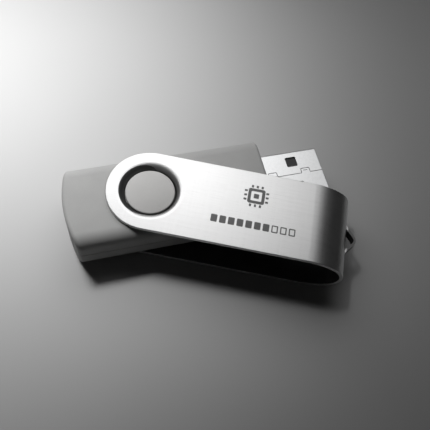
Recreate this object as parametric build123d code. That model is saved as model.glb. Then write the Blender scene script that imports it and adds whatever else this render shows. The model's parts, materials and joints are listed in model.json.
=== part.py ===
from build123d import *
import os
from math import acos, atan2, cos, degrees, radians, sin, sqrt

# USB flash drive with a steel cover that swivels about two bosses on the plastic body.
# Millimetres, +Z up. The origin lies on the swivel axis, in the plane that the lower
# cover arm rests on. The plug points along +X.

# --- Overall -----------------------------------------------------------------
HEIGHT = 12.0             # over the outer faces of the two cover arms
BODY_WIDTH = 18.8         # plastic body, along Y
BODY_FRONT = 25.7         # swivel axis to the body's front face
BODY_REAR = 18.1          # swivel axis to the crown of the rounded rear end
REAR_SAG = 1.7            # crown of the rear end over its corners
BODY_EDGE_RADIUS = 2.8    # long edges of the body
BODY_END_RADIUS = 0.8     # edges round the front and rear faces
ARM_GAP = 0.15            # running gap between a cover arm and the body

# --- Swivel cover --------------------------------------------------------------
COVER_SHEET = 0.8
COVER_WIDTH = 18.4
COVER_SWING = -23.7       # degrees about +Z at rest, from the closed position
SHOULDER_RADIUS = 11.5    # outside of the bend, next to each arm
NOSE_RADIUS = 4.9         # outside of the bend, at the closed end
TIP_CLEARANCE = 1.6       # inside of the bend to the plug's corner as it swings past
COVER_EDGE_ROUND = 0.12
LIP_BORE_RADIUS = 5.35    # drawn-in lip of each arm's hole
LIP_INSIDE_RADIUS = 0.8   # inside of the lip's bend
LIP_DEPTH = 1.8           # lip's edge below the arm's outer face
LOOP_HALF_SPAN = 3.3      # lanyard loop, root to middle
LOOP_RISE = 2.6           # how far the loop stands out of the sheet
LOOP_SHEET = 0.5          # the lanced strip, thinned as it is pushed out
LOOP_HEIGHT = 2.2         # width of the lanced strip, along Z
LOOP_CROWN_RADIUS = 1.3

# --- Bosses and grooves ----------------------------------------------------------
BOSS_GAP = 0.15           # lip to boss and lip to the groove's outer wall
GROOVE_FLOOR_GAP = 0.2    # lip's edge to the groove's floor
BOSS_RISE = 0.1           # rim of the boss over the body's face
BOSS_DOME = 0.6           # crown of the boss over its rim
BOSS_RIM_ROUND = 0.3

# --- Case walls ----------------------------------------------------------------
WALL = 1.2
HUB_WALL = 1.0            # plastic round and under the groove
PARTING_CHAMFER = 0.12
PARTING_LIP = 0.55        # thickness of the lip that aligns the halves
PARTING_LIP_HEIGHT = 0.6
PARTING_GAP = 0.08

# --- Plug ------------------------------------------------------------------------
PLUG_WIDTH = 12.0
PLUG_HEIGHT = 4.5
PLUG_SHEET = 0.3
PLUG_CORNER_RADIUS = 0.42
PLUG_EXPOSED = 13.65      # body's front face to the plug's tip
PLUG_EMBEDDED = 5.2       # shield inside the body
PLUG_FIT = 0.05
PLUG_TIP_ROUND = 0.12
WINDOW = 2.5              # square window in the shield
WINDOW_FROM_TIP = 5.2
WINDOW_INSIDE = 2.0       # middle line to a window's inner edge
WINDOW_CORNER = 0.3
SEAM_WIDTH = 0.15
SEAM_TAB_HEIGHT = 1.15
SEAM_TABS = [(2.9, 2.0), (10.6, 1.9)]   # (distance behind the tip, width)
SEAM_FILLET = 0.22
RELIEF_SLOT = (0.95, 0.12)              # slot in the front tab: length, width
TONGUE_THICKNESS = 1.84
TONGUE_SIDE_GAP = 0.05
TONGUE_FROM_TIP = 0.45
TONGUE_BLOCK = 3.0        # full-height block at the back of the plug
LEG_LENGTH = 3.2          # shield's solder legs, behind its rear edge
LEG_HEIGHT = 1.4

# --- Contacts ----------------------------------------------------------------------
CONTACT_WIDTH = 1.0
CONTACT_SHEET = 0.2
CONTACT_PROUD = 0.1       # contact below the tongue's face
CONTACT_TAIL = 2.0        # tail behind the plug
OUTER_PITCH = 7.0         # between the supply and ground contacts
INNER_PITCH = 2.0         # between the data contacts
OUTER_FROM_TIP = 1.2
INNER_FROM_TIP = 2.2
SOLDER_RISE = 0.38
SOLDER_MARGIN = 0.18

# --- Circuit board -----------------------------------------------------------------
BOARD_THICKNESS = 0.8
BOARD_SIDE_GAP = 0.25     # board to the case's side walls
BOARD_END_GAP = 0.5       # board to the case's rear wall
BOARD_TO_PLUG = 0.2
BOARD_CORNER_RADIUS = 0.6
NECK_LENGTH = 3.4         # narrow front part, between the shield's legs
POST_RADIUS = 1.1
PIN_RADIUS = 0.55
PIN_GAP = 0.1
PIN_HEIGHT = 0.9          # pin above the board
POST_INSET = 1.6          # post's axis to the board's edges
SOCKET_DEPTH = 1.2

# --- Components --------------------------------------------------------------------
CONTROLLER = (7.0, 7.0, 1.4)
CONTROLLER_LEADS_PER_SIDE = 12
FLASH = (18.4, 12.0, 1.0)
FLASH_LEADS_PER_SIDE = 24
LEAD_PITCH = 0.5
LEAD_WIDTH = 0.22
LEAD_SHEET = 0.13
CONTROLLER_LEAD_REACH = 1.0
FLASH_LEAD_REACH = 0.8
CHIP_STANDOFF = 0.1
CHIP_DRAFT = 0.12
CRYSTAL = (3.2, 2.5, 0.55)
CRYSTAL_LID = (2.7, 2.0, 0.2)
REGULATOR = (1.6, 2.9, 1.1)
REGULATOR_LEG_REACH = 0.6
REGULATOR_LEG_WIDTH = 0.4
REGULATOR_PITCH = 0.95
PASSIVE = (1.6, 0.8, 0.6)
PASSIVE_TERMINAL = 0.3
LED = (1.6, 0.8, 0.7)
CONTROLLER_OFFSET = 2.6   # controller ahead of the middle between the posts
# Small parts, as (along X, along Y) from the controller's middle.
CRYSTAL_PLACE = (-7.6, 2.6)
REGULATOR_PLACE = (6.7, -3.9)
CAPACITOR_PLACES = [(-6.6, -1.4), (-6.6, -3.6), (-9.2, -2.4), (6.9, 1.6), (6.9, 3.4)]
RESISTOR_PLACES = [(-9.6, 0.6), (-9.6, 5.4), (6.9, -0.4), (-6.4, 5.6)]
LED_FROM_REAR = 2.2

# --- Worked out ----------------------------------------------------------------------
MID = HEIGHT / 2
BODY_TOP = HEIGHT - COVER_SHEET - ARM_GAP
BODY_HALF = BODY_WIDTH / 2
BODY_HALF_HEIGHT = BODY_TOP - MID
REAR_RADIUS = (BODY_HALF**2 + REAR_SAG**2) / (2 * REAR_SAG)
LIP_OUTSIDE_RADIUS = COVER_SHEET + LIP_INSIDE_RADIUS
LIP_BEND_CENTRE = LIP_BORE_RADIUS + LIP_OUTSIDE_RADIUS
BOSS_RADIUS = LIP_BORE_RADIUS - BOSS_GAP
BOSS_RIM = BODY_TOP + BOSS_RISE
GROOVE_RADIUS = LIP_BORE_RADIUS + COVER_SHEET + BOSS_GAP
GROOVE_FLOOR = HEIGHT - LIP_DEPTH - GROOVE_FLOOR_GAP
CEILING = BODY_TOP - WALL
HUB_BOTTOM = GROOVE_FLOOR - HUB_WALL
PLUG_TIP = BODY_FRONT + PLUG_EXPOSED
PLUG_REAR = BODY_FRONT - PLUG_EMBEDDED
PLUG_HALF = PLUG_WIDTH / 2
SHIELD_TOP = MID + PLUG_HEIGHT / 2
SHIELD_INSIDE = PLUG_HEIGHT / 2 - PLUG_SHEET
TONGUE_TOP = MID + SHIELD_INSIDE
TONGUE_FACE = TONGUE_TOP - TONGUE_THICKNESS
CONTACT_FACE = TONGUE_FACE - CONTACT_PROUD
BOARD_TOP = CONTACT_FACE
BOARD_BOTTOM = BOARD_TOP - BOARD_THICKNESS
BOARD_HALF = BODY_HALF - WALL - BOARD_SIDE_GAP
BOARD_REAR = -(BODY_REAR - REAR_SAG - WALL - BOARD_END_GAP)
BOARD_FRONT = PLUG_REAR - BOARD_TO_PLUG
BOARD_SHOULDER = BOARD_FRONT - NECK_LENGTH
NECK_HALF = PLUG_HALF - PLUG_SHEET - PLUG_FIT
POST_FRONT = BOARD_SHOULDER - POST_INSET
POST_REAR = BOARD_REAR + POST_INSET
POST_SIDE = BOARD_HALF - POST_INSET
POST_MIDDLE = (POST_FRONT + POST_REAR) / 2
CONTROLLER_X = POST_MIDDLE + CONTROLLER_OFFSET
TIP_SWEEP = sqrt(PLUG_TIP**2 + PLUG_HALF**2)
NOSE_DROP = NOSE_RADIUS - sqrt((NOSE_RADIUS - COVER_SHEET) ** 2 - (PLUG_HEIGHT / 2) ** 2)
COVER_REACH = TIP_SWEEP + TIP_CLEARANCE + NOSE_DROP


def block(x, y, z):
    """Box from three (low, high) pairs."""
    size = [high - low for low, high in (x, y, z)]
    middle = [(high + low) / 2 for low, high in (x, y, z)]
    return Pos(*middle) * Box(*size)


def post(x, y, radius, bottom, top):
    return Pos(x, y, (bottom + top) / 2) * Cylinder(radius, top - bottom)


def bar(half_width, half_height, radius, x_low, x_high):
    """Bar along X at mid height, with a rounded rectangular section."""
    outline = RectangleRounded(2 * half_width, 2 * half_height, radius)
    return extrude(Plane.YZ.offset(x_low) * Pos(0, MID) * outline, amount=x_high - x_low)


def flipped(shape):
    """The shape turned over about the mid-height plane."""
    return mirror(shape, about=Plane.XY.offset(MID))


# --- Plastic case ----------------------------------------------------------------------
def case_form(inset):
    """Outer form of the case, or the same form a constant distance inside it."""
    form = bar(
        BODY_HALF - inset,
        BODY_HALF_HEIGHT - inset,
        BODY_EDGE_RADIUS - inset,
        -BODY_REAR - 1,
        BODY_FRONT - inset,
    )
    rear = Pos(REAR_RADIUS - BODY_REAR, 0, MID) * Cylinder(REAR_RADIUS - inset, 2 * HEIGHT)
    ahead = block((0, BODY_FRONT), (-BODY_WIDTH, BODY_WIDTH), (-HEIGHT, 2 * HEIGHT))
    return form & (rear + ahead)


def upper_half(shape):
    reach = BODY_FRONT + BODY_REAR
    return shape & block((-reach, reach), (-reach, reach), (MID, 2 * HEIGHT))


def boss():
    """Round boss inside the groove, with a shallow crown and a rounded rim."""
    crown = BOSS_RIM + BOSS_DOME
    radius = (BOSS_RADIUS**2 + BOSS_DOME**2) / (2 * BOSS_DOME)
    half = BOSS_RADIUS / 2
    between = crown - radius + sqrt(radius**2 - half**2)
    rim = (BOSS_RADIUS, BOSS_RIM)
    outline = Wire(
        [
            Line((0, HUB_BOTTOM), (BOSS_RADIUS, HUB_BOTTOM)),
            Line((BOSS_RADIUS, HUB_BOTTOM), rim),
            ThreePointArc(rim, (half, between), (0, crown)),
            Line((0, crown), (0, HUB_BOTTOM)),
        ]
    )
    solid = revolve(Plane.XZ * Face(outline), Axis.Z)
    rims = solid.edges().filter_by(GeomType.CIRCLE).group_by(SortBy.RADIUS)[0]
    return fillet(rims.sort_by(Axis.Z)[-1], BOSS_RIM_ROUND)


def groove():
    """Groove for the lip, with a chamfered mouth that keeps clear of the inside of the lip's bend."""
    mouth = LIP_BEND_CENTRE - GROOVE_RADIUS
    above = BODY_TOP + HEIGHT
    outline = Polyline(
        (0, GROOVE_FLOOR),
        (GROOVE_RADIUS, GROOVE_FLOOR),
        (GROOVE_RADIUS, BODY_TOP - mouth),
        (LIP_BEND_CENTRE + HEIGHT, above),
        (0, above),
        close=True,
    )
    return revolve(Plane.XZ * make_face(outline), Axis.Z)


def outer_half():
    """Upper half of the case with its boss and groove, before the inside is added."""
    form = case_form(0)
    ends = form.faces().sort_by(Axis.X)
    form = fillet(ends[0].edges() + ends[-1].edges(), BODY_END_RADIUS)
    half = upper_half(form)
    parting = half.faces().sort_by(Axis.Z)[0]
    half = chamfer(parting.outer_wire().edges(), PARTING_CHAMFER)
    return half - groove() + boss()


def inside_half():
    """Hollow of the upper half: the cavity less the hub that carries the groove."""
    cavity = upper_half(case_form(WALL))
    hub = post(0, 0, GROOVE_RADIUS + HUB_WALL, HUB_BOTTOM, HEIGHT)
    pocket = post(0, 0, BOSS_RADIUS - HUB_WALL, HUB_BOTTOM, BODY_TOP - HUB_WALL)
    return cavity - hub + pocket


def plug_slot():
    """Opening in the front wall that the shield passes through."""
    return bar(
        PLUG_HALF + PLUG_FIT,
        PLUG_HEIGHT / 2 + PLUG_FIT,
        PLUG_CORNER_RADIUS + PLUG_FIT,
        PLUG_REAR,
        PLUG_TIP,
    )


def board_places():
    return [(x, side * POST_SIDE) for x in (POST_REAR, POST_FRONT) for side in (-1, 1)]


def cradle():
    """Rib that bears on the shield behind the front wall, in the upper half."""
    front = BODY_FRONT - WALL - 1.6
    return block((front - 0.9, front), (-PLUG_HALF - 0.6, PLUG_HALF + 0.6), (SHIELD_TOP, CEILING))


def parting_band(inset, height):
    """Band along the inner edge of the wall, just above the parting plane."""
    band = case_form(inset) - case_form(WALL)
    reach = BODY_FRONT + BODY_REAR
    return band & block((-reach, reach), (-reach, reach), (MID, MID + height))


def upper_shell():
    shell = outer_half() - inside_half()
    shell += cradle()
    for x, y in board_places():
        shell += post(x, y, POST_RADIUS, BOARD_TOP, CEILING)
        shell -= post(x, y, PIN_RADIUS + PIN_GAP, BOARD_TOP, BOARD_TOP + SOCKET_DEPTH)
    shell -= parting_band(WALL - PARTING_LIP - PARTING_GAP, PARTING_LIP_HEIGHT + PARTING_GAP)
    return shell - plug_slot()


def lower_shell():
    shell = flipped(outer_half() - inside_half() + cradle())
    floor = HEIGHT - CEILING
    for x, y in board_places():
        shell += post(x, y, POST_RADIUS, floor, BOARD_BOTTOM)
        shell += post(x, y, PIN_RADIUS, floor, BOARD_TOP + PIN_HEIGHT)
    shell += parting_band(WALL - PARTING_LIP, PARTING_LIP_HEIGHT)
    return shell - plug_slot()


# --- Swivel cover ------------------------------------------------------------------------
def cover_profile(inset):
    """Side outline of the U, drawn along X and Z, a constant distance inside the outer face."""
    shoulder = SHOULDER_RADIUS - inset
    nose = NOSE_RADIUS - inset
    rise = SHOULDER_RADIUS - MID
    nose_x = COVER_REACH - NOSE_RADIUS
    turn = acos(rise / (SHOULDER_RADIUS - NOSE_RADIUS))
    shoulder_x = nose_x - (SHOULDER_RADIUS - NOSE_RADIUS) * sin(turn)
    start = -COVER_WIDTH

    def on_shoulder(angle):
        return (shoulder_x + shoulder * sin(angle), MID - rise + shoulder * cos(angle))

    def mirrored(point):
        return (point[0], HEIGHT - point[1])

    top = on_shoulder(0)
    joint = on_shoulder(turn)
    tip = (nose_x + nose, MID)
    halfway = on_shoulder(turn / 2)
    outline = Wire(
        [
            Line((start, top[1]), top),
            ThreePointArc(top, halfway, joint),
            ThreePointArc(joint, tip, mirrored(joint)),
            ThreePointArc(mirrored(joint), mirrored(halfway), mirrored(top)),
            Line(mirrored(top), (start, inset)),
            Line((start, inset), (start, top[1])),
        ]
    )
    return Face(outline)


def cover_solid(inset):
    return extrude(Plane.XZ * cover_profile(inset), amount=COVER_WIDTH, both=True)


def drawn_lip():
    """Ring whose section turns down from the upper arm into the hole."""
    outer = LIP_OUTSIDE_RADIUS
    inner = LIP_INSIDE_RADIUS
    centre = (LIP_BEND_CENTRE, HEIGHT - outer)
    half = cos(radians(45))

    def corner(radius):
        return (centre[0] - radius * half, centre[1] + radius * half)

    crown = (centre[0], HEIGHT)
    under = (centre[0], HEIGHT - COVER_SHEET)
    bore = (LIP_BORE_RADIUS, centre[1])
    back = (LIP_BORE_RADIUS + COVER_SHEET, centre[1])
    bore_edge = (bore[0], HEIGHT - LIP_DEPTH)
    back_edge = (back[0], HEIGHT - LIP_DEPTH)
    outline = Wire(
        [
            ThreePointArc(crown, corner(outer), bore),
            Line(bore, bore_edge),
            Line(bore_edge, back_edge),
            Line(back_edge, back),
            ThreePointArc(back, corner(inner), under),
            Line(under, crown),
        ]
    )
    return revolve(Plane.XZ * Face(outline), Axis.Z)


def lanyard_loop():
    """Strip pushed out of the closed end, in plan a rounded V."""
    root = COVER_REACH - COVER_SHEET / 2
    path = FilletPolyline(
        (root, -LOOP_HALF_SPAN),
        (root + LOOP_RISE, 0),
        (root, LOOP_HALF_SPAN),
        radius=LOOP_CROWN_RADIUS,
    )
    strip = trace(path, line_width=LOOP_SHEET)
    return extrude(Pos(0, 0, MID) * strip, amount=LOOP_HEIGHT / 2, both=True)


def swivel_cover():
    half_width = COVER_WIDTH / 2
    plan = Circle(half_width) + Pos(COVER_REACH / 2, 0) * Rectangle(COVER_REACH, COVER_WIDTH)
    inside = cover_solid(COVER_SHEET)
    sheet = (cover_solid(0) - inside) & extrude(plan, amount=HEIGHT)
    rims = [edge for edge in sheet.edges() if edge.length > 2 * COVER_SHEET]
    rims = [edge for edge in rims if abs((edge @ 0).Y - (edge @ 1).Y) < COVER_WIDTH - 0.1]
    sheet = fillet(rims, COVER_EDGE_ROUND)
    sheet -= post(0, 0, LIP_BEND_CENTRE, -HEIGHT, 2 * HEIGHT)
    lip = drawn_lip()
    sheet = sheet + lip + flipped(lip)
    root = COVER_REACH - COVER_SHEET / 2
    slot_half = LOOP_HALF_SPAN - LOOP_SHEET / 2
    half_height = LOOP_HEIGHT / 2
    lanced = (MID - half_height, MID + half_height)
    sheet -= block((root - 3, root + 3), (-slot_half, slot_half), lanced)
    sheet += lanyard_loop() - inside
    return Rot(0, 0, COVER_SWING) * sheet


# --- Plug ----------------------------------------------------------------------------------
def seam_path():
    """Middle line of the shield's butt seam: straight, with a square tab at each tooth."""
    points = [(PLUG_TIP + 1, 0)]
    for behind, width in SEAM_TABS:
        front = PLUG_TIP - behind
        points += [(front, 0), (front, SEAM_TAB_HEIGHT)]
        points += [(front - width, SEAM_TAB_HEIGHT), (front - width, 0)]
    points.append((PLUG_REAR - LEG_LENGTH - 1, 0))
    return FilletPolyline(*points, radius=SEAM_FILLET)


def plug_shield():
    rear = PLUG_REAR
    outside = bar(PLUG_HALF, PLUG_HEIGHT / 2, PLUG_CORNER_RADIUS, rear, PLUG_TIP)
    outside = fillet(outside.faces().sort_by(Axis.X)[-1].edges(), PLUG_TIP_ROUND)
    inside = bar(
        PLUG_HALF - PLUG_SHEET, SHIELD_INSIDE, PLUG_CORNER_RADIUS - PLUG_SHEET, rear - 1, PLUG_TIP + 1
    )
    shield = outside - inside
    for side in (-1, 1):
        wall = sorted((side * PLUG_HALF, side * (PLUG_HALF - PLUG_SHEET)))
        middle = BOARD_TOP
        leg = block((rear - LEG_LENGTH, rear + 1), wall, (middle - LEG_HEIGHT / 2, middle + LEG_HEIGHT / 2))
        shield += leg
        window_x = PLUG_TIP - WINDOW_FROM_TIP - WINDOW / 2
        window_y = side * (WINDOW_INSIDE + WINDOW / 2)
        window = RectangleRounded(WINDOW, WINDOW, WINDOW_CORNER)
        shield -= extrude(Pos(window_x, window_y, 0) * window, amount=HEIGHT)
    above = Pos(0, 0, TONGUE_TOP - PLUG_SHEET)
    seam = trace(seam_path(), line_width=SEAM_WIDTH)
    shield -= extrude(above * seam, amount=HEIGHT)
    slot_x = PLUG_TIP - SEAM_TABS[0][0] - SEAM_TABS[0][1] / 2
    slot = Pos(slot_x, SEAM_TAB_HEIGHT * 0.55) * SlotOverall(*RELIEF_SLOT)
    return shield - extrude(above * slot, amount=HEIGHT)


def contact(side, pitch, from_tip):
    """One contact strip, from its rounded front end to its soldered tail."""
    front = PLUG_TIP - from_tip
    rear = PLUG_REAR - CONTACT_TAIL
    middle = side * pitch / 2
    half = CONTACT_WIDTH / 2
    strip = block((rear, front), (middle - half, middle + half), (CONTACT_FACE, CONTACT_FACE + CONTACT_SHEET))
    front_edges = strip.faces().sort_by(Axis.X)[-1].edges().filter_by(Axis.Z)
    return fillet(front_edges, CONTACT_WIDTH * 0.2)


CONTACTS = {
    "contact_vbus": contact(-1, OUTER_PITCH, OUTER_FROM_TIP),
    "contact_data_minus": contact(-1, INNER_PITCH, INNER_FROM_TIP),
    "contact_data_plus": contact(1, INNER_PITCH, INNER_FROM_TIP),
    "contact_ground": contact(1, OUTER_PITCH, OUTER_FROM_TIP),
}


def plug_tongue():
    half = PLUG_HALF - PLUG_SHEET - TONGUE_SIDE_GAP
    tip = PLUG_TIP - TONGUE_FROM_TIP
    tongue = block((PLUG_REAR, tip), (-half, half), (TONGUE_FACE, TONGUE_TOP))
    nose = tongue.faces().sort_by(Axis.X)[-1].edges().filter_by(Axis.Y)
    tongue = chamfer(nose.sort_by(Axis.Z)[0], 0.4)
    back = (PLUG_REAR, PLUG_REAR + TONGUE_BLOCK)
    tongue += block(back, (-half, half), (MID - SHIELD_INSIDE, TONGUE_TOP))
    tongue &= bar(half, SHIELD_INSIDE, PLUG_CORNER_RADIUS - PLUG_SHEET, PLUG_REAR, tip)
    for strip in CONTACTS.values():
        tongue -= strip
    return tongue


def contact_solder_joints():
    """Solder round the end of each contact's tail, on the board."""
    joints = []
    end = PLUG_REAR - CONTACT_TAIL
    half = CONTACT_WIDTH / 2 + SOLDER_MARGIN
    for strip in CONTACTS.values():
        y = strip.center().Y
        mound = block((end - 0.45, end + 0.95), (y - half, y + half), (BOARD_TOP, BOARD_TOP + SOLDER_RISE))
        crown = mound.faces().sort_by(Axis.Z)[-1].edges()
        mound = chamfer(crown, SOLDER_RISE * 0.4)
        joints.append(mound - strip)
    return joints


def shield_solder_joints():
    """Solder in the corner between each leg and the board."""
    rear = PLUG_REAR - LEG_LENGTH
    inner = PLUG_HALF - PLUG_SHEET
    rise = LEG_HEIGHT / 2 - 0.05
    joints = []
    for side in (-1, 1):
        outline = Polyline(
            (side * inner, BOARD_TOP),
            (side * inner, BOARD_TOP + rise),
            (side * (inner - 0.3), BOARD_TOP + rise * 0.35),
            (side * (inner - rise), BOARD_TOP),
            close=True,
        )
        joints.append(extrude(Plane.YZ.offset(rear + 0.3) * make_face(outline), amount=2.2))
    return joints


# --- Circuit board and its components -------------------------------------------------------
def circuit_board():
    outline = Polyline(
        (BOARD_REAR, -BOARD_HALF),
        (BOARD_SHOULDER, -BOARD_HALF),
        (BOARD_SHOULDER, -NECK_HALF),
        (BOARD_FRONT, -NECK_HALF),
        (BOARD_FRONT, NECK_HALF),
        (BOARD_SHOULDER, NECK_HALF),
        (BOARD_SHOULDER, BOARD_HALF),
        (BOARD_REAR, BOARD_HALF),
        close=True,
    )
    board = extrude(Pos(0, 0, BOARD_BOTTOM) * make_face(outline), amount=BOARD_THICKNESS)
    corners = board.edges().filter_by(Axis.Z)
    outer = [e for e in corners if abs(abs(e.center().Y) - BOARD_HALF) < 0.01]
    board = fillet(outer, BOARD_CORNER_RADIUS)
    for x, y in board_places():
        board -= post(x, y, PIN_RADIUS + PIN_GAP, 0, HEIGHT)
    return board


def chip_body(size, x, y, bottom):
    """Moulded package with drafted upper and lower sides."""
    length, width, height = size
    middle = bottom + height / 2
    half = []
    for direction in (-1, 1):
        face = Pos(x, y, middle) * Rectangle(length, width)
        half.append(extrude(face, amount=direction * height / 2, taper=degrees(atan2(CHIP_DRAFT, height / 2))))
    return half[0] + half[1]


def gull_wing(reach, rise, width):
    """Lead from the package's side, at the origin, down to a foot at z = 0, along +X."""
    sheet = LEAD_SHEET
    knee = reach * 0.25
    heel = reach * 0.5
    outline = Polyline(
        (0, rise + sheet / 2),
        (knee, rise + sheet / 2),
        (heel, sheet),
        (reach, sheet),
        (reach, 0),
        (heel - sheet * 0.8, 0),
        (knee - sheet * 0.8, rise - sheet / 2),
        (0, rise - sheet / 2),
        close=True,
    )
    return extrude(Plane.XZ * make_face(outline), amount=width / 2, both=True)


def lead_row(count, pitch, distance, lead):
    """Leads side by side along Y, standing off along +X."""
    first = -(count - 1) * pitch / 2
    return [Pos(distance, first + index * pitch, 0) * lead for index in range(count)]


def controller_leads():
    rise = CHIP_STANDOFF + CONTROLLER[2] / 2
    lead = gull_wing(CONTROLLER_LEAD_REACH, rise, LEAD_WIDTH)
    row = lead_row(CONTROLLER_LEADS_PER_SIDE, LEAD_PITCH, CONTROLLER[0] / 2, lead)
    place = Pos(CONTROLLER_X, 0, BOARD_TOP)
    return [place * Rot(0, 0, turn) * one for turn in (0, 90, 180, 270) for one in row]


def flash_leads():
    rise = CHIP_STANDOFF + FLASH[2] / 2
    lead = gull_wing(FLASH_LEAD_REACH, rise, LEAD_WIDTH)
    row = lead_row(FLASH_LEADS_PER_SIDE, LEAD_PITCH, FLASH[0] / 2, lead)
    place = Pos(POST_MIDDLE, 0, BOARD_BOTTOM) * Rot(180, 0, 0)
    return [place * Rot(0, 0, turn) * one for turn in (0, 180) for one in row]


def on_controller(place):
    return CONTROLLER_X + place[0], place[1]


def regulator_leads():
    x, y = on_controller(REGULATOR_PLACE)
    rise = CHIP_STANDOFF + REGULATOR[2] / 2
    lead = gull_wing(REGULATOR_LEG_REACH, rise, REGULATOR_LEG_WIDTH)
    place = Pos(x, y, BOARD_TOP)
    pair = lead_row(2, 2 * REGULATOR_PITCH, REGULATOR[0] / 2, lead)
    single = lead_row(1, REGULATOR_PITCH, REGULATOR[0] / 2, lead)
    return [place * one for one in pair] + [place * Rot(0, 0, 180) * one for one in single]


def passive_body(place):
    x, y = on_controller(place)
    half = PASSIVE[0] / 2 - PASSIVE_TERMINAL
    width = PASSIVE[1] / 2
    return block((x - half, x + half), (y - width, y + width), (BOARD_TOP, BOARD_TOP + PASSIVE[2]))


def passive_terminals(place):
    x, y = on_controller(place)
    caps = []
    for side in (-1, 1):
        ends = sorted((x + side * PASSIVE[0] / 2, x + side * (PASSIVE[0] / 2 - PASSIVE_TERMINAL)))
        width = PASSIVE[1] / 2
        caps.append(block(ends, (y - width, y + width), (BOARD_TOP, BOARD_TOP + PASSIVE[2])))
    return caps


def seated(size, x, y, bottom):
    """Plain block of the given size, standing on a height."""
    return Pos(x, y, bottom + size[2] / 2) * Box(*size)


crystal_x, crystal_y = on_controller(CRYSTAL_PLACE)
regulator_x, regulator_y = on_controller(REGULATOR_PLACE)
chip_bottom = BOARD_TOP + CHIP_STANDOFF

NODES = {
    "upper_shell": [upper_shell()],
    "lower_shell": [lower_shell()],
    "swivel_cover": [swivel_cover()],
    "plug_shield": [plug_shield()],
    "plug_tongue": [plug_tongue()],
    "contact_solder_joints": contact_solder_joints(),
    "shield_solder_joints": shield_solder_joints(),
    "circuit_board": [circuit_board()],
    "controller_chip": [chip_body(CONTROLLER, CONTROLLER_X, 0, chip_bottom)],
    "controller_leads": controller_leads(),
    "flash_memory_chip": [
        chip_body(FLASH, POST_MIDDLE, 0, BOARD_BOTTOM - CHIP_STANDOFF - FLASH[2])
    ],
    "flash_memory_leads": flash_leads(),
    "crystal_base": [seated(CRYSTAL, crystal_x, crystal_y, BOARD_TOP)],
    "crystal_lid": [seated(CRYSTAL_LID, crystal_x, crystal_y, BOARD_TOP + CRYSTAL[2])],
    "voltage_regulator": [chip_body(REGULATOR, regulator_x, regulator_y, chip_bottom)],
    "regulator_leads": regulator_leads(),
    "capacitor_bodies": [passive_body(place) for place in CAPACITOR_PLACES],
    "resistor_bodies": [passive_body(place) for place in RESISTOR_PLACES],
    "chip_terminals": [
        cap for place in CAPACITOR_PLACES + RESISTOR_PLACES for cap in passive_terminals(place)
    ],
    "activity_led": [seated(LED, BOARD_REAR + LED_FROM_REAR, 0, BOARD_TOP)],
}
NODES.update({name: [strip] for name, strip in CONTACTS.items()})

os.makedirs("parts", exist_ok=True)
for name, solids in NODES.items():
    shape = solids[0] if len(solids) == 1 else Compound(solids)
    export_step(shape, f"parts/{name}.step")
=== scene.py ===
import json
import math

import bmesh
import bpy
from mathutils import Matrix, Vector


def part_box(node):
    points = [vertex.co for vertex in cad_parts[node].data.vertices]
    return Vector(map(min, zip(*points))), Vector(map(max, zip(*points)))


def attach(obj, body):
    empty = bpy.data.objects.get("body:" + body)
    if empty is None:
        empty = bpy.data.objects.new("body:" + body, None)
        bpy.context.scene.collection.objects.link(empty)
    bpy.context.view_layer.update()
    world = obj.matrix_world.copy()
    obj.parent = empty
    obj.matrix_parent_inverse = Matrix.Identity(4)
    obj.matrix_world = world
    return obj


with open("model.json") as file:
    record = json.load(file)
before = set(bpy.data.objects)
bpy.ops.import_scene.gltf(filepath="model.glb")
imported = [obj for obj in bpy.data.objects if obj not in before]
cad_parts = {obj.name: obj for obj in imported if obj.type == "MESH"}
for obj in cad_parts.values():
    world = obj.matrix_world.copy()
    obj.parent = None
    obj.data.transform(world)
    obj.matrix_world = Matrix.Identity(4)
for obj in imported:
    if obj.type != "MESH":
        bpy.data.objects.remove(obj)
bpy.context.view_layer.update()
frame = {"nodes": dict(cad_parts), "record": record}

MM = 0.001
COVER_SWING = math.radians(-23.7)  # the cover's turn about +Z at rest
COVER = "cover"
ARM_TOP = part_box("swivel_cover")[1].z
COVER_MIDDLE = 24 * MM    # swivel axis to the middle of the U
LOOP_ROOT = 43 * MM       # swivel axis to the lanyard loop
BORE_RADIUS = 5.4 * MM    # inside of the arms' drawn-in holes
BOSS_RADIUS = 5.2 * MM


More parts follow.
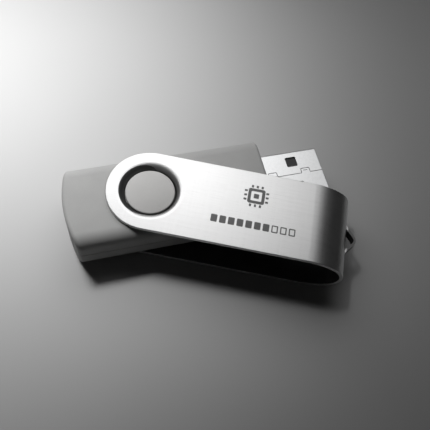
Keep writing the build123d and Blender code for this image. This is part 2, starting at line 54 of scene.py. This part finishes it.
# --- Node helpers -------------------------------------------------------------
class Shader:
    """A material and short ways to add and join its nodes."""

    def __init__(self, name, **sockets):
        self.material = bpy.data.materials.new(name)
        self.material.use_nodes = True
        self.tree = self.material.node_tree
        self.surface = self.tree.nodes["Principled BSDF"]
        for socket, value in sockets.items():
            self.surface.inputs[socket.replace("_", " ")].default_value = value

    def add(self, kind, settings=None, **sockets):
        node = self.tree.nodes.new(kind)
        for name, value in (settings or {}).items():
            setattr(node, name, value)
        for socket, value in sockets.items():
            self.feed(node.inputs[socket.replace("_", " ")], value)
        return node

    def feed(self, socket, value):
        """Link a socket to another node's output, or give it a plain value."""
        if isinstance(value, bpy.types.NodeSocket):
            self.tree.links.new(value, socket)
        else:
            socket.default_value = value

    def join(self, output, socket):
        self.feed(self.surface.inputs[socket], output)

    def vector(self, operation, first, second=None):
        """Node of vector arithmetic on one or two vectors."""
        node = self.add("ShaderNodeVectorMath", {"operation": operation})
        self.feed(node.inputs[0], first)
        if second is not None:
            self.feed(node.inputs[1], second)
        return node

    def place(self, turn=0.0, stretch=(1, 1, 1)):
        """Object coordinates, turned about Z and then stretched."""
        coordinates = self.add("ShaderNodeTexCoord").outputs["Object"]
        turned = self.add("ShaderNodeMapping", Vector=coordinates)
        turned.inputs["Rotation"].default_value = (0, 0, turn)
        scaled = self.add("ShaderNodeMapping", Vector=turned.outputs["Vector"])
        scaled.inputs["Scale"].default_value = stretch
        return scaled.outputs["Vector"]

    def noise(self, place, size, detail=2.0, roughness=0.5):
        """Noise whose features are about size metres across, from 0 to 1."""
        look = {"Scale": 1 / size, "Detail": detail, "Roughness": roughness}
        return self.add("ShaderNodeTexNoise", Vector=place, **look).outputs["Fac"]

    def ramp(self, value, stops):
        """Colour ramp from (position, colour) pairs."""
        node = self.add("ShaderNodeValToRGB", Fac=value)
        elements = node.color_ramp.elements
        while len(elements) < len(stops):
            elements.new(0.5)
        for element, (position, colour) in zip(elements, stops):
            element.position = position
            element.color = (*colour, 1)
        return node.outputs["Color"]

    def span(self, value, low, high, lowest=0.0, highest=1.0):
        """The value stretched from lowest..highest to low..high."""
        limits = {"From_Min": lowest, "From_Max": highest, "To_Min": low, "To_Max": high}
        return self.add("ShaderNodeMapRange", Value=value, **limits).outputs["Result"]

    def blend(self, share, first, second):
        """Mix of two colours."""
        node = self.add("ShaderNodeMix", {"data_type": "RGBA"}, Factor=share)
        self.feed(node.inputs[6], first)
        self.feed(node.inputs[7], second)
        return node.outputs[2]

    def sum(self, first, second, share=0.5):
        """Weighted sum of two values."""
        node = self.add("ShaderNodeMix", {"data_type": "FLOAT"}, Factor=share, A=first, B=second)
        return node.outputs["Result"]

    def from_axis(self):
        """Distance from the swivel axis."""
        coordinates = self.add("ShaderNodeTexCoord").outputs["Object"]
        flat = self.vector("MULTIPLY", coordinates, (1, 1, 0))
        return self.vector("LENGTH", flat.outputs["Vector"]).outputs["Value"]

    def greatest(self, first, second):
        node = self.add("ShaderNodeMath", {"operation": "MAXIMUM"})
        self.feed(node.inputs[0], first)
        self.feed(node.inputs[1], second)
        return node.outputs["Value"]

    def bump(self, height, strength, distance):
        node = self.add("ShaderNodeBump", Height=height, Strength=strength, Distance=distance)
        self.join(node.outputs["Normal"], "Normal")


def grey(value):
    return (value, value, value)


# --- Materials ------------------------------------------------------------------
def case_plastic():
    """Soft-touch grey plastic with very fine moulded grain; the boss is painted paler, a painted
    highlight for the light on its domed top.
    """
    shader = Shader("case_plastic", Roughness=0.6, Specular_IOR_Level=0.3)
    place = shader.place()
    grain = shader.noise(place, 0.14 * MM, detail=3.0)
    patches = shader.noise(place, 6 * MM, detail=4.0, roughness=0.6)
    tone = shader.sum(patches, grain, 0.35)
    case = shader.ramp(tone, [(0.3, (0.285, 0.285, 0.282)), (0.7, (0.33, 0.33, 0.326))])
    # painted highlight: a paler copy of the plastic colour stands in for light on the boss's dome
    boss_highlight = shader.ramp(tone, [(0.3, (0.37, 0.366, 0.36)), (0.7, (0.43, 0.426, 0.42))])
    boss = shader.span(shader.from_axis(), 1.0, 0.0, BOSS_RADIUS - 0.2 * MM, BOSS_RADIUS + 0.1 * MM)
    shader.join(shader.blend(boss, case, boss_highlight), "Base Color")
    shader.join(shader.span(patches, 0.55, 0.68, 0.3, 0.7), "Roughness")
    shader.bump(grain, 0.25, 0.012 * MM)
    return shader.material


def brushed_steel(name, tint, rough, stroke):
    """Sheet brushed outside along the cover; inside the U, in its hole and on the loop it is painted near
    black and made rougher, a painted shade for those hollows and for the loop.

    The highlights stretch across the brushing, as they do on real brushed metal.
    """
    shader = Shader(name, Metallic=1.0, Anisotropic=0.5)
    fine = shader.noise(shader.place(-COVER_SWING, (0.03, 1, 1)), stroke, detail=3.0, roughness=0.6)
    long = shader.noise(shader.place(-COVER_SWING, (0.01, 1, 1)), stroke * 6, detail=3.0, roughness=0.7)
    rolls = shader.noise(shader.place(-COVER_SWING, (1, 0.03, 1)), stroke * 6, detail=3.0, roughness=0.7)
    clouds = shader.noise(shader.place(), 5 * MM, detail=5.0, roughness=0.6)
    strokes = shader.sum(fine, long, 0.45)
    marks = shader.sum(strokes, rolls, 0.25)
    tone = shader.sum(marks, clouds, 0.2)
    brushed = shader.ramp(tone, [(0.32, grey(tint * 0.84)), (0.5, grey(tint)), (0.68, grey(tint * 1.05))])
    # painted shade: near-black steel colour stands in for shade inside the U, in the hole and on the loop
    painted_shade_colour = shader.ramp(clouds, [(0.3, grey(tint * 0.14)), (0.7, grey(tint * 0.18))])
    inside = painted_shade_mask(shader)
    shader.join(shader.blend(inside, brushed, painted_shade_colour), "Base Color")
    smooth = shader.span(tone, rough - 0.05, rough + 0.06, 0.3, 0.7)
    shader.join(shader.span(inside, smooth, 0.62), "Roughness")
    shader.bump(marks, 0.15, 0.008 * MM)
    across = shader.add("ShaderNodeCombineXYZ", X=-math.sin(COVER_SWING), Y=math.cos(COVER_SWING))
    turned = shader.add(
        "ShaderNodeVectorTransform",
        {"vector_type": "VECTOR", "convert_from": "OBJECT", "convert_to": "WORLD"},
        Vector=across.outputs["Vector"],
    )
    shader.join(turned.outputs["Vector"], "Tangent")
    return shader.material


def painted_shade_mask(shader):
    """Mask of the painted shade: 1 where the sheet faces the middle of the U or its hole, nearly 1 on the
    loop, and 0 elsewhere.
    """
    coordinates = shader.add("ShaderNodeTexCoord").outputs
    along = Vector((math.cos(COVER_SWING), math.sin(COVER_SWING), 0))
    middle = along * COVER_MIDDLE + Vector((0, 0, ARM_TOP / 2))
    out = shader.vector("SUBTRACT", coordinates["Object"], middle).outputs["Vector"]
    facing = shader.vector("DOT_PRODUCT", coordinates["Normal"], out).outputs["Value"]
    inner = shader.span(facing, 1.0, 0.0, -2 * MM, -1 * MM)
    bore = shader.span(shader.from_axis(), 1.0, 0.0, BORE_RADIUS, BORE_RADIUS + 1 * MM)
    reach = shader.vector("DOT_PRODUCT", coordinates["Object"], along).outputs["Value"]
    loop = shader.span(reach, 0.0, 0.8, LOOP_ROOT, LOOP_ROOT + 0.3 * MM)
    return shader.greatest(shader.greatest(inner, bore), loop)


def satin_plate(name, colour, rough, grain_size):
    """Plated or tinned metal: cloudy, with a fine random grain."""
    shader = Shader(name, Metallic=1.0)
    place = shader.place()
    grain = shader.noise(place, grain_size, detail=3.0)
    clouds = shader.noise(place, grain_size * 9, detail=3.0)
    tone = shader.sum(grain, clouds, 0.5)
    dark = tuple(channel * 0.86 for channel in colour)
    light = tuple(min(1.0, channel * 1.08) for channel in colour)
    shader.join(shader.ramp(tone, [(0.3, dark), (0.7, light)]), "Base Color")
    shader.join(shader.span(tone, rough - 0.07, rough + 0.09, 0.3, 0.7), "Roughness")
    shader.bump(grain, 0.2, 0.008 * MM)
    return shader.material


def moulded(name, colour, rough, grain_size):
    """Moulded plastic, epoxy or fired ceramic with an even fine grain."""
    shader = Shader(name)
    place = shader.place()
    grain = shader.noise(place, grain_size, detail=3.0)
    clouds = shader.noise(place, grain_size * 20, detail=2.0)
    tone = shader.sum(grain, clouds, 0.4)
    dark = tuple(channel * 0.8 for channel in colour)
    light = tuple(min(1.0, channel * 1.2) for channel in colour)
    shader.join(shader.ramp(tone, [(0.3, dark), (0.7, light)]), "Base Color")
    shader.join(shader.span(tone, rough - 0.06, rough + 0.08, 0.3, 0.7), "Roughness")
    shader.bump(grain, 0.3, 0.01 * MM)
    return shader.material


def printed_ink():
    """Pad-printed grey ink, slightly uneven, over the steel."""
    shader = Shader("printed_ink")
    place = shader.place(-COVER_SWING)
    speckle = shader.noise(place, 0.12 * MM, detail=3.0)
    shader.join(shader.ramp(speckle, [(0.3, grey(0.085)), (0.7, grey(0.125))]), "Base Color")
    shader.join(shader.span(speckle, 0.4, 0.52, 0.3, 0.7), "Roughness")
    shader.bump(speckle, 0.2, 0.006 * MM)
    return shader.material


MATERIALS = {
    "case_plastic": case_plastic(),
    "cover_steel": brushed_steel("cover_steel", 0.8, 0.4, 0.12 * MM),
    "plug_steel": satin_plate("plug_steel", (0.74, 0.745, 0.75), 0.34, 0.09 * MM),
    "tongue_plastic": moulded("tongue_plastic", (0.012, 0.012, 0.013), 0.45, 0.1 * MM),
    "contact_gold": satin_plate("contact_gold", (0.83, 0.58, 0.22), 0.28, 0.12 * MM),
    "solder": satin_plate("solder", (0.6, 0.6, 0.61), 0.25, 0.2 * MM),
    "board_laminate": moulded("board_laminate", (0.012, 0.11, 0.035), 0.35, 0.25 * MM),
    "chip_plastic": moulded("chip_plastic", (0.018, 0.018, 0.02), 0.55, 0.08 * MM),
    "tinned_leads": satin_plate("tinned_leads", (0.62, 0.61, 0.58), 0.34, 0.1 * MM),
    "crystal_ceramic": moulded("crystal_ceramic", (0.1, 0.09, 0.08), 0.6, 0.08 * MM),
    "crystal_metal": satin_plate("crystal_metal", (0.66, 0.63, 0.54), 0.25, 0.1 * MM),
    "capacitor_ceramic": moulded("capacitor_ceramic", (0.3, 0.2, 0.11), 0.5, 0.08 * MM),
    "resistor_ceramic": moulded("resistor_ceramic", (0.02, 0.02, 0.022), 0.4, 0.08 * MM),
    "led_lens": moulded("led_lens", (0.62, 0.64, 0.6), 0.2, 0.1 * MM),
    "printed_ink": printed_ink(),
}


def dress_cad_nodes():
    """Every carried-over node gets the detailed material of its slot."""
    for entry in frame["record"]["subparts"]:
        mesh = frame["nodes"][entry["node"]].data
        mesh.materials.clear()
        mesh.materials.append(MATERIALS[entry["material_slot"]])


# --- Printed mark ------------------------------------------------------------------
# Sizes in millimetres, along the cover from the swivel axis (u) and across it (v).
INK = 0.02 * MM
CHIP_PLACE = (22.0, 3.3)
CHIP_SIDE = 3.6
CHIP_LINE = 0.65
PIN = (0.62, 0.46)        # length and width
PIN_PITCH = 1.05
PIN_OFFSET = 0.5          # side of the square to a pin's middle
CORE = 1.1
BAR_PLACE = (13.4, -3.6)  # start and middle line
BLOCK = (1.35, 1.7)       # along and across
BLOCK_GAP = 0.46
BLOCK_LINE = 0.25
BLOCKS = 10
FILLED = 7


def rounded(u, v, length, width, radius):
    """Corner points of a rounded rectangle on the cover, counterclockwise, in millimetres."""
    points = []
    for quarter in range(4):
        side_u = 1 if quarter in (0, 3) else -1
        side_v = 1 if quarter in (0, 1) else -1
        for step in range(5):
            angle = math.radians(90 * quarter + 22.5 * step)
            corner_u = u + side_u * (length / 2 - radius)
            corner_v = v + side_v * (width / 2 - radius)
            points.append((corner_u + radius * math.cos(angle), corner_v + radius * math.sin(angle)))
    return points


def print_shape(mesh, outline, hole=None):
    """Thin closed film of ink on the upper arm, with an optional hole of as many points."""
    turn = Matrix.Rotation(COVER_SWING, 4, "Z")

    def ring(points, height):
        return [mesh.verts.new(turn @ Vector((u * MM, v * MM, height))) for u, v in points]

    def wall(low, high):
        for index in range(len(low)):
            after = (index + 1) % len(low)
            mesh.faces.new((low[index], low[after], high[after], high[index]))

    low = ring(outline, ARM_TOP)
    high = ring(outline, ARM_TOP + INK)
    wall(low, high)
    if hole:
        low_hole = ring(hole, ARM_TOP)
        high_hole = ring(hole, ARM_TOP + INK)
        wall(high_hole, low_hole)
        wall(high, high_hole)
        wall(low_hole, low)
    else:
        mesh.faces.new(high)
        mesh.faces.new(list(reversed(low)))


def printed_piece(name, shapes):
    build = bmesh.new()
    for outline, hole in shapes:
        print_shape(build, outline, hole)
    mesh = bpy.data.meshes.new(name)
    build.to_mesh(mesh)
    build.free()
    mesh.materials.append(MATERIALS["printed_ink"])
    piece = bpy.data.objects.new(name, mesh)
    bpy.context.scene.collection.objects.link(piece)
    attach(piece, COVER)


def make_printed_marks():
    """Memory chip pictogram, over a row of blocks like a gauge of filled capacity."""
    u, v = CHIP_PLACE
    inner = CHIP_SIDE - 2 * CHIP_LINE
    shapes = [(rounded(u, v, CHIP_SIDE, CHIP_SIDE, 0.45), rounded(u, v, inner, inner, 0.2))]
    length, width = PIN
    for place in (-PIN_PITCH, 0, PIN_PITCH):
        for end in (-1, 1):
            beside = end * (CHIP_SIDE / 2 + PIN_OFFSET)
            shapes.append((rounded(u + beside, v + place, length, width, 0.1), None))
            shapes.append((rounded(u + place, v + beside, width, length, 0.1), None))
    shapes.append((rounded(u, v, CORE, CORE, 0.15), None))
    printed_piece("printed_chip_mark", shapes)

    start, v = BAR_PLACE
    length, width = BLOCK
    shapes = []
    for index in range(BLOCKS):
        u = start + length / 2 + index * (length + BLOCK_GAP)
        hole = rounded(u, v, length - 2 * BLOCK_LINE, width - 2 * BLOCK_LINE, 0.08)
        shapes.append((rounded(u, v, length, width, 0.2), hole if index >= FILLED else None))
    printed_piece("printed_capacity_bar", shapes)


# --- Camera, floor and light --------------------------------------------------------
def make_camera():
    camera = bpy.data.objects.new("camera", bpy.data.cameras.new("camera"))
    camera.data.lens = 49.96
    camera.data.sensor_width = 36
    camera.data.clip_start = 0.005
    place = Vector((-11.8, -61.6, 119.7)) * MM
    aim = Vector((13.13, -5.45, 6.0)) * MM
    aimed(camera, place, aim, 11.23)
    bpy.context.scene.camera = camera


def make_floor():
    size = 1.5
    mesh = bpy.data.meshes.new("floor")
    corners = [(-size, -size, 0), (size, -size, 0), (size, size, 0), (-size, size, 0)]
    mesh.from_pydata(corners, [], [(0, 1, 2, 3)])
    floor = bpy.data.objects.new("floor", mesh)
    bpy.context.scene.collection.objects.link(floor)
    shader = Shader("floor", Roughness=0.75)
    clouds = shader.noise(shader.place(), 0.12, detail=3.0)
    shader.join(shader.ramp(clouds, [(0.3, grey(0.37)), (0.7, grey(0.4))]), "Base Color")
    mesh.materials.append(shader.material)


def aimed(thing, place, aim, turn=0.0):
    """Camera or light at a place, pointed at another and then turned about its own axis."""
    look = (Vector(aim) - Vector(place)).to_track_quat("-Z", "Y").to_matrix()
    thing.location = Vector(place)
    thing.rotation_euler = (look @ Matrix.Rotation(math.radians(turn), 3, "Z")).to_euler()
    bpy.context.scene.collection.objects.link(thing)


def softbox(name, place, aim, turn, size, radiance, shift=0.0):
    """Even rectangular light, out of the camera's sight, moved to the right in its own plane by shift."""
    data = bpy.data.lights.new(name, "AREA")
    data.shape = "RECTANGLE"
    data.size, data.size_y = size
    data.energy = radiance * math.pi * size[0] * size[1]
    light = bpy.data.objects.new(name, data)
    light.visible_camera = False
    aimed(light, place, aim, turn)
    light.location += light.rotation_euler.to_matrix() @ Vector((-shift, 0, 0))


def spot(name, place, aim, power, cone, softness):
    """Round pool of light that fades towards its edge and leaves no glint in the metal."""
    data = bpy.data.lights.new(name, "SPOT")
    data.energy = power
    data.spot_size = math.radians(cone)
    data.spot_blend = 1.0
    data.shadow_soft_size = softness
    light = bpy.data.objects.new(name, data)
    light.visible_glossy = False
    aimed(light, place, aim)


def faded_softbox():
    """Softbox behind the drive, with dimmer and dimmer strips beside it towards the bend.

    The steel's top face mirrors it from the camera's side, so the strips fade the steel
    from white at the boss to dark at the bend.
    """
    place = (0.0185, 0.06, 0.09)
    aim = (0.02, 0.0, 0.0)
    turn = -25
    width = 0.09
    height = 0.078
    shift = -0.0255
    strip = 0.015
    softbox("overhead", place, aim, turn, (width, height), 2.15, shift)
    for step, radiance in enumerate((1.75, 1.4, 1.05, 0.75, 0.5, 0.25)):
        beside = shift + width / 2 + (step + 0.5) * strip
        softbox(f"overhead_edge_{step}", place, aim, turn, (strip, height), radiance, beside)


def make_light():
    world = bpy.data.worlds.new("studio")
    bpy.context.scene.world = world
    world.use_nodes = True
    world.node_tree.nodes["Background"].inputs["Color"].default_value = (0.015, 0.015, 0.015, 1)
    faded_softbox()
    spot("pool", (-0.075, 0.16, 0.27), (-0.045, 0.05, 0.0), 9.5, 31, 0.05)
    bpy.context.scene.view_settings.view_transform = "Standard"


dress_cad_nodes()
make_printed_marks()
make_camera()
make_floor()
make_light()
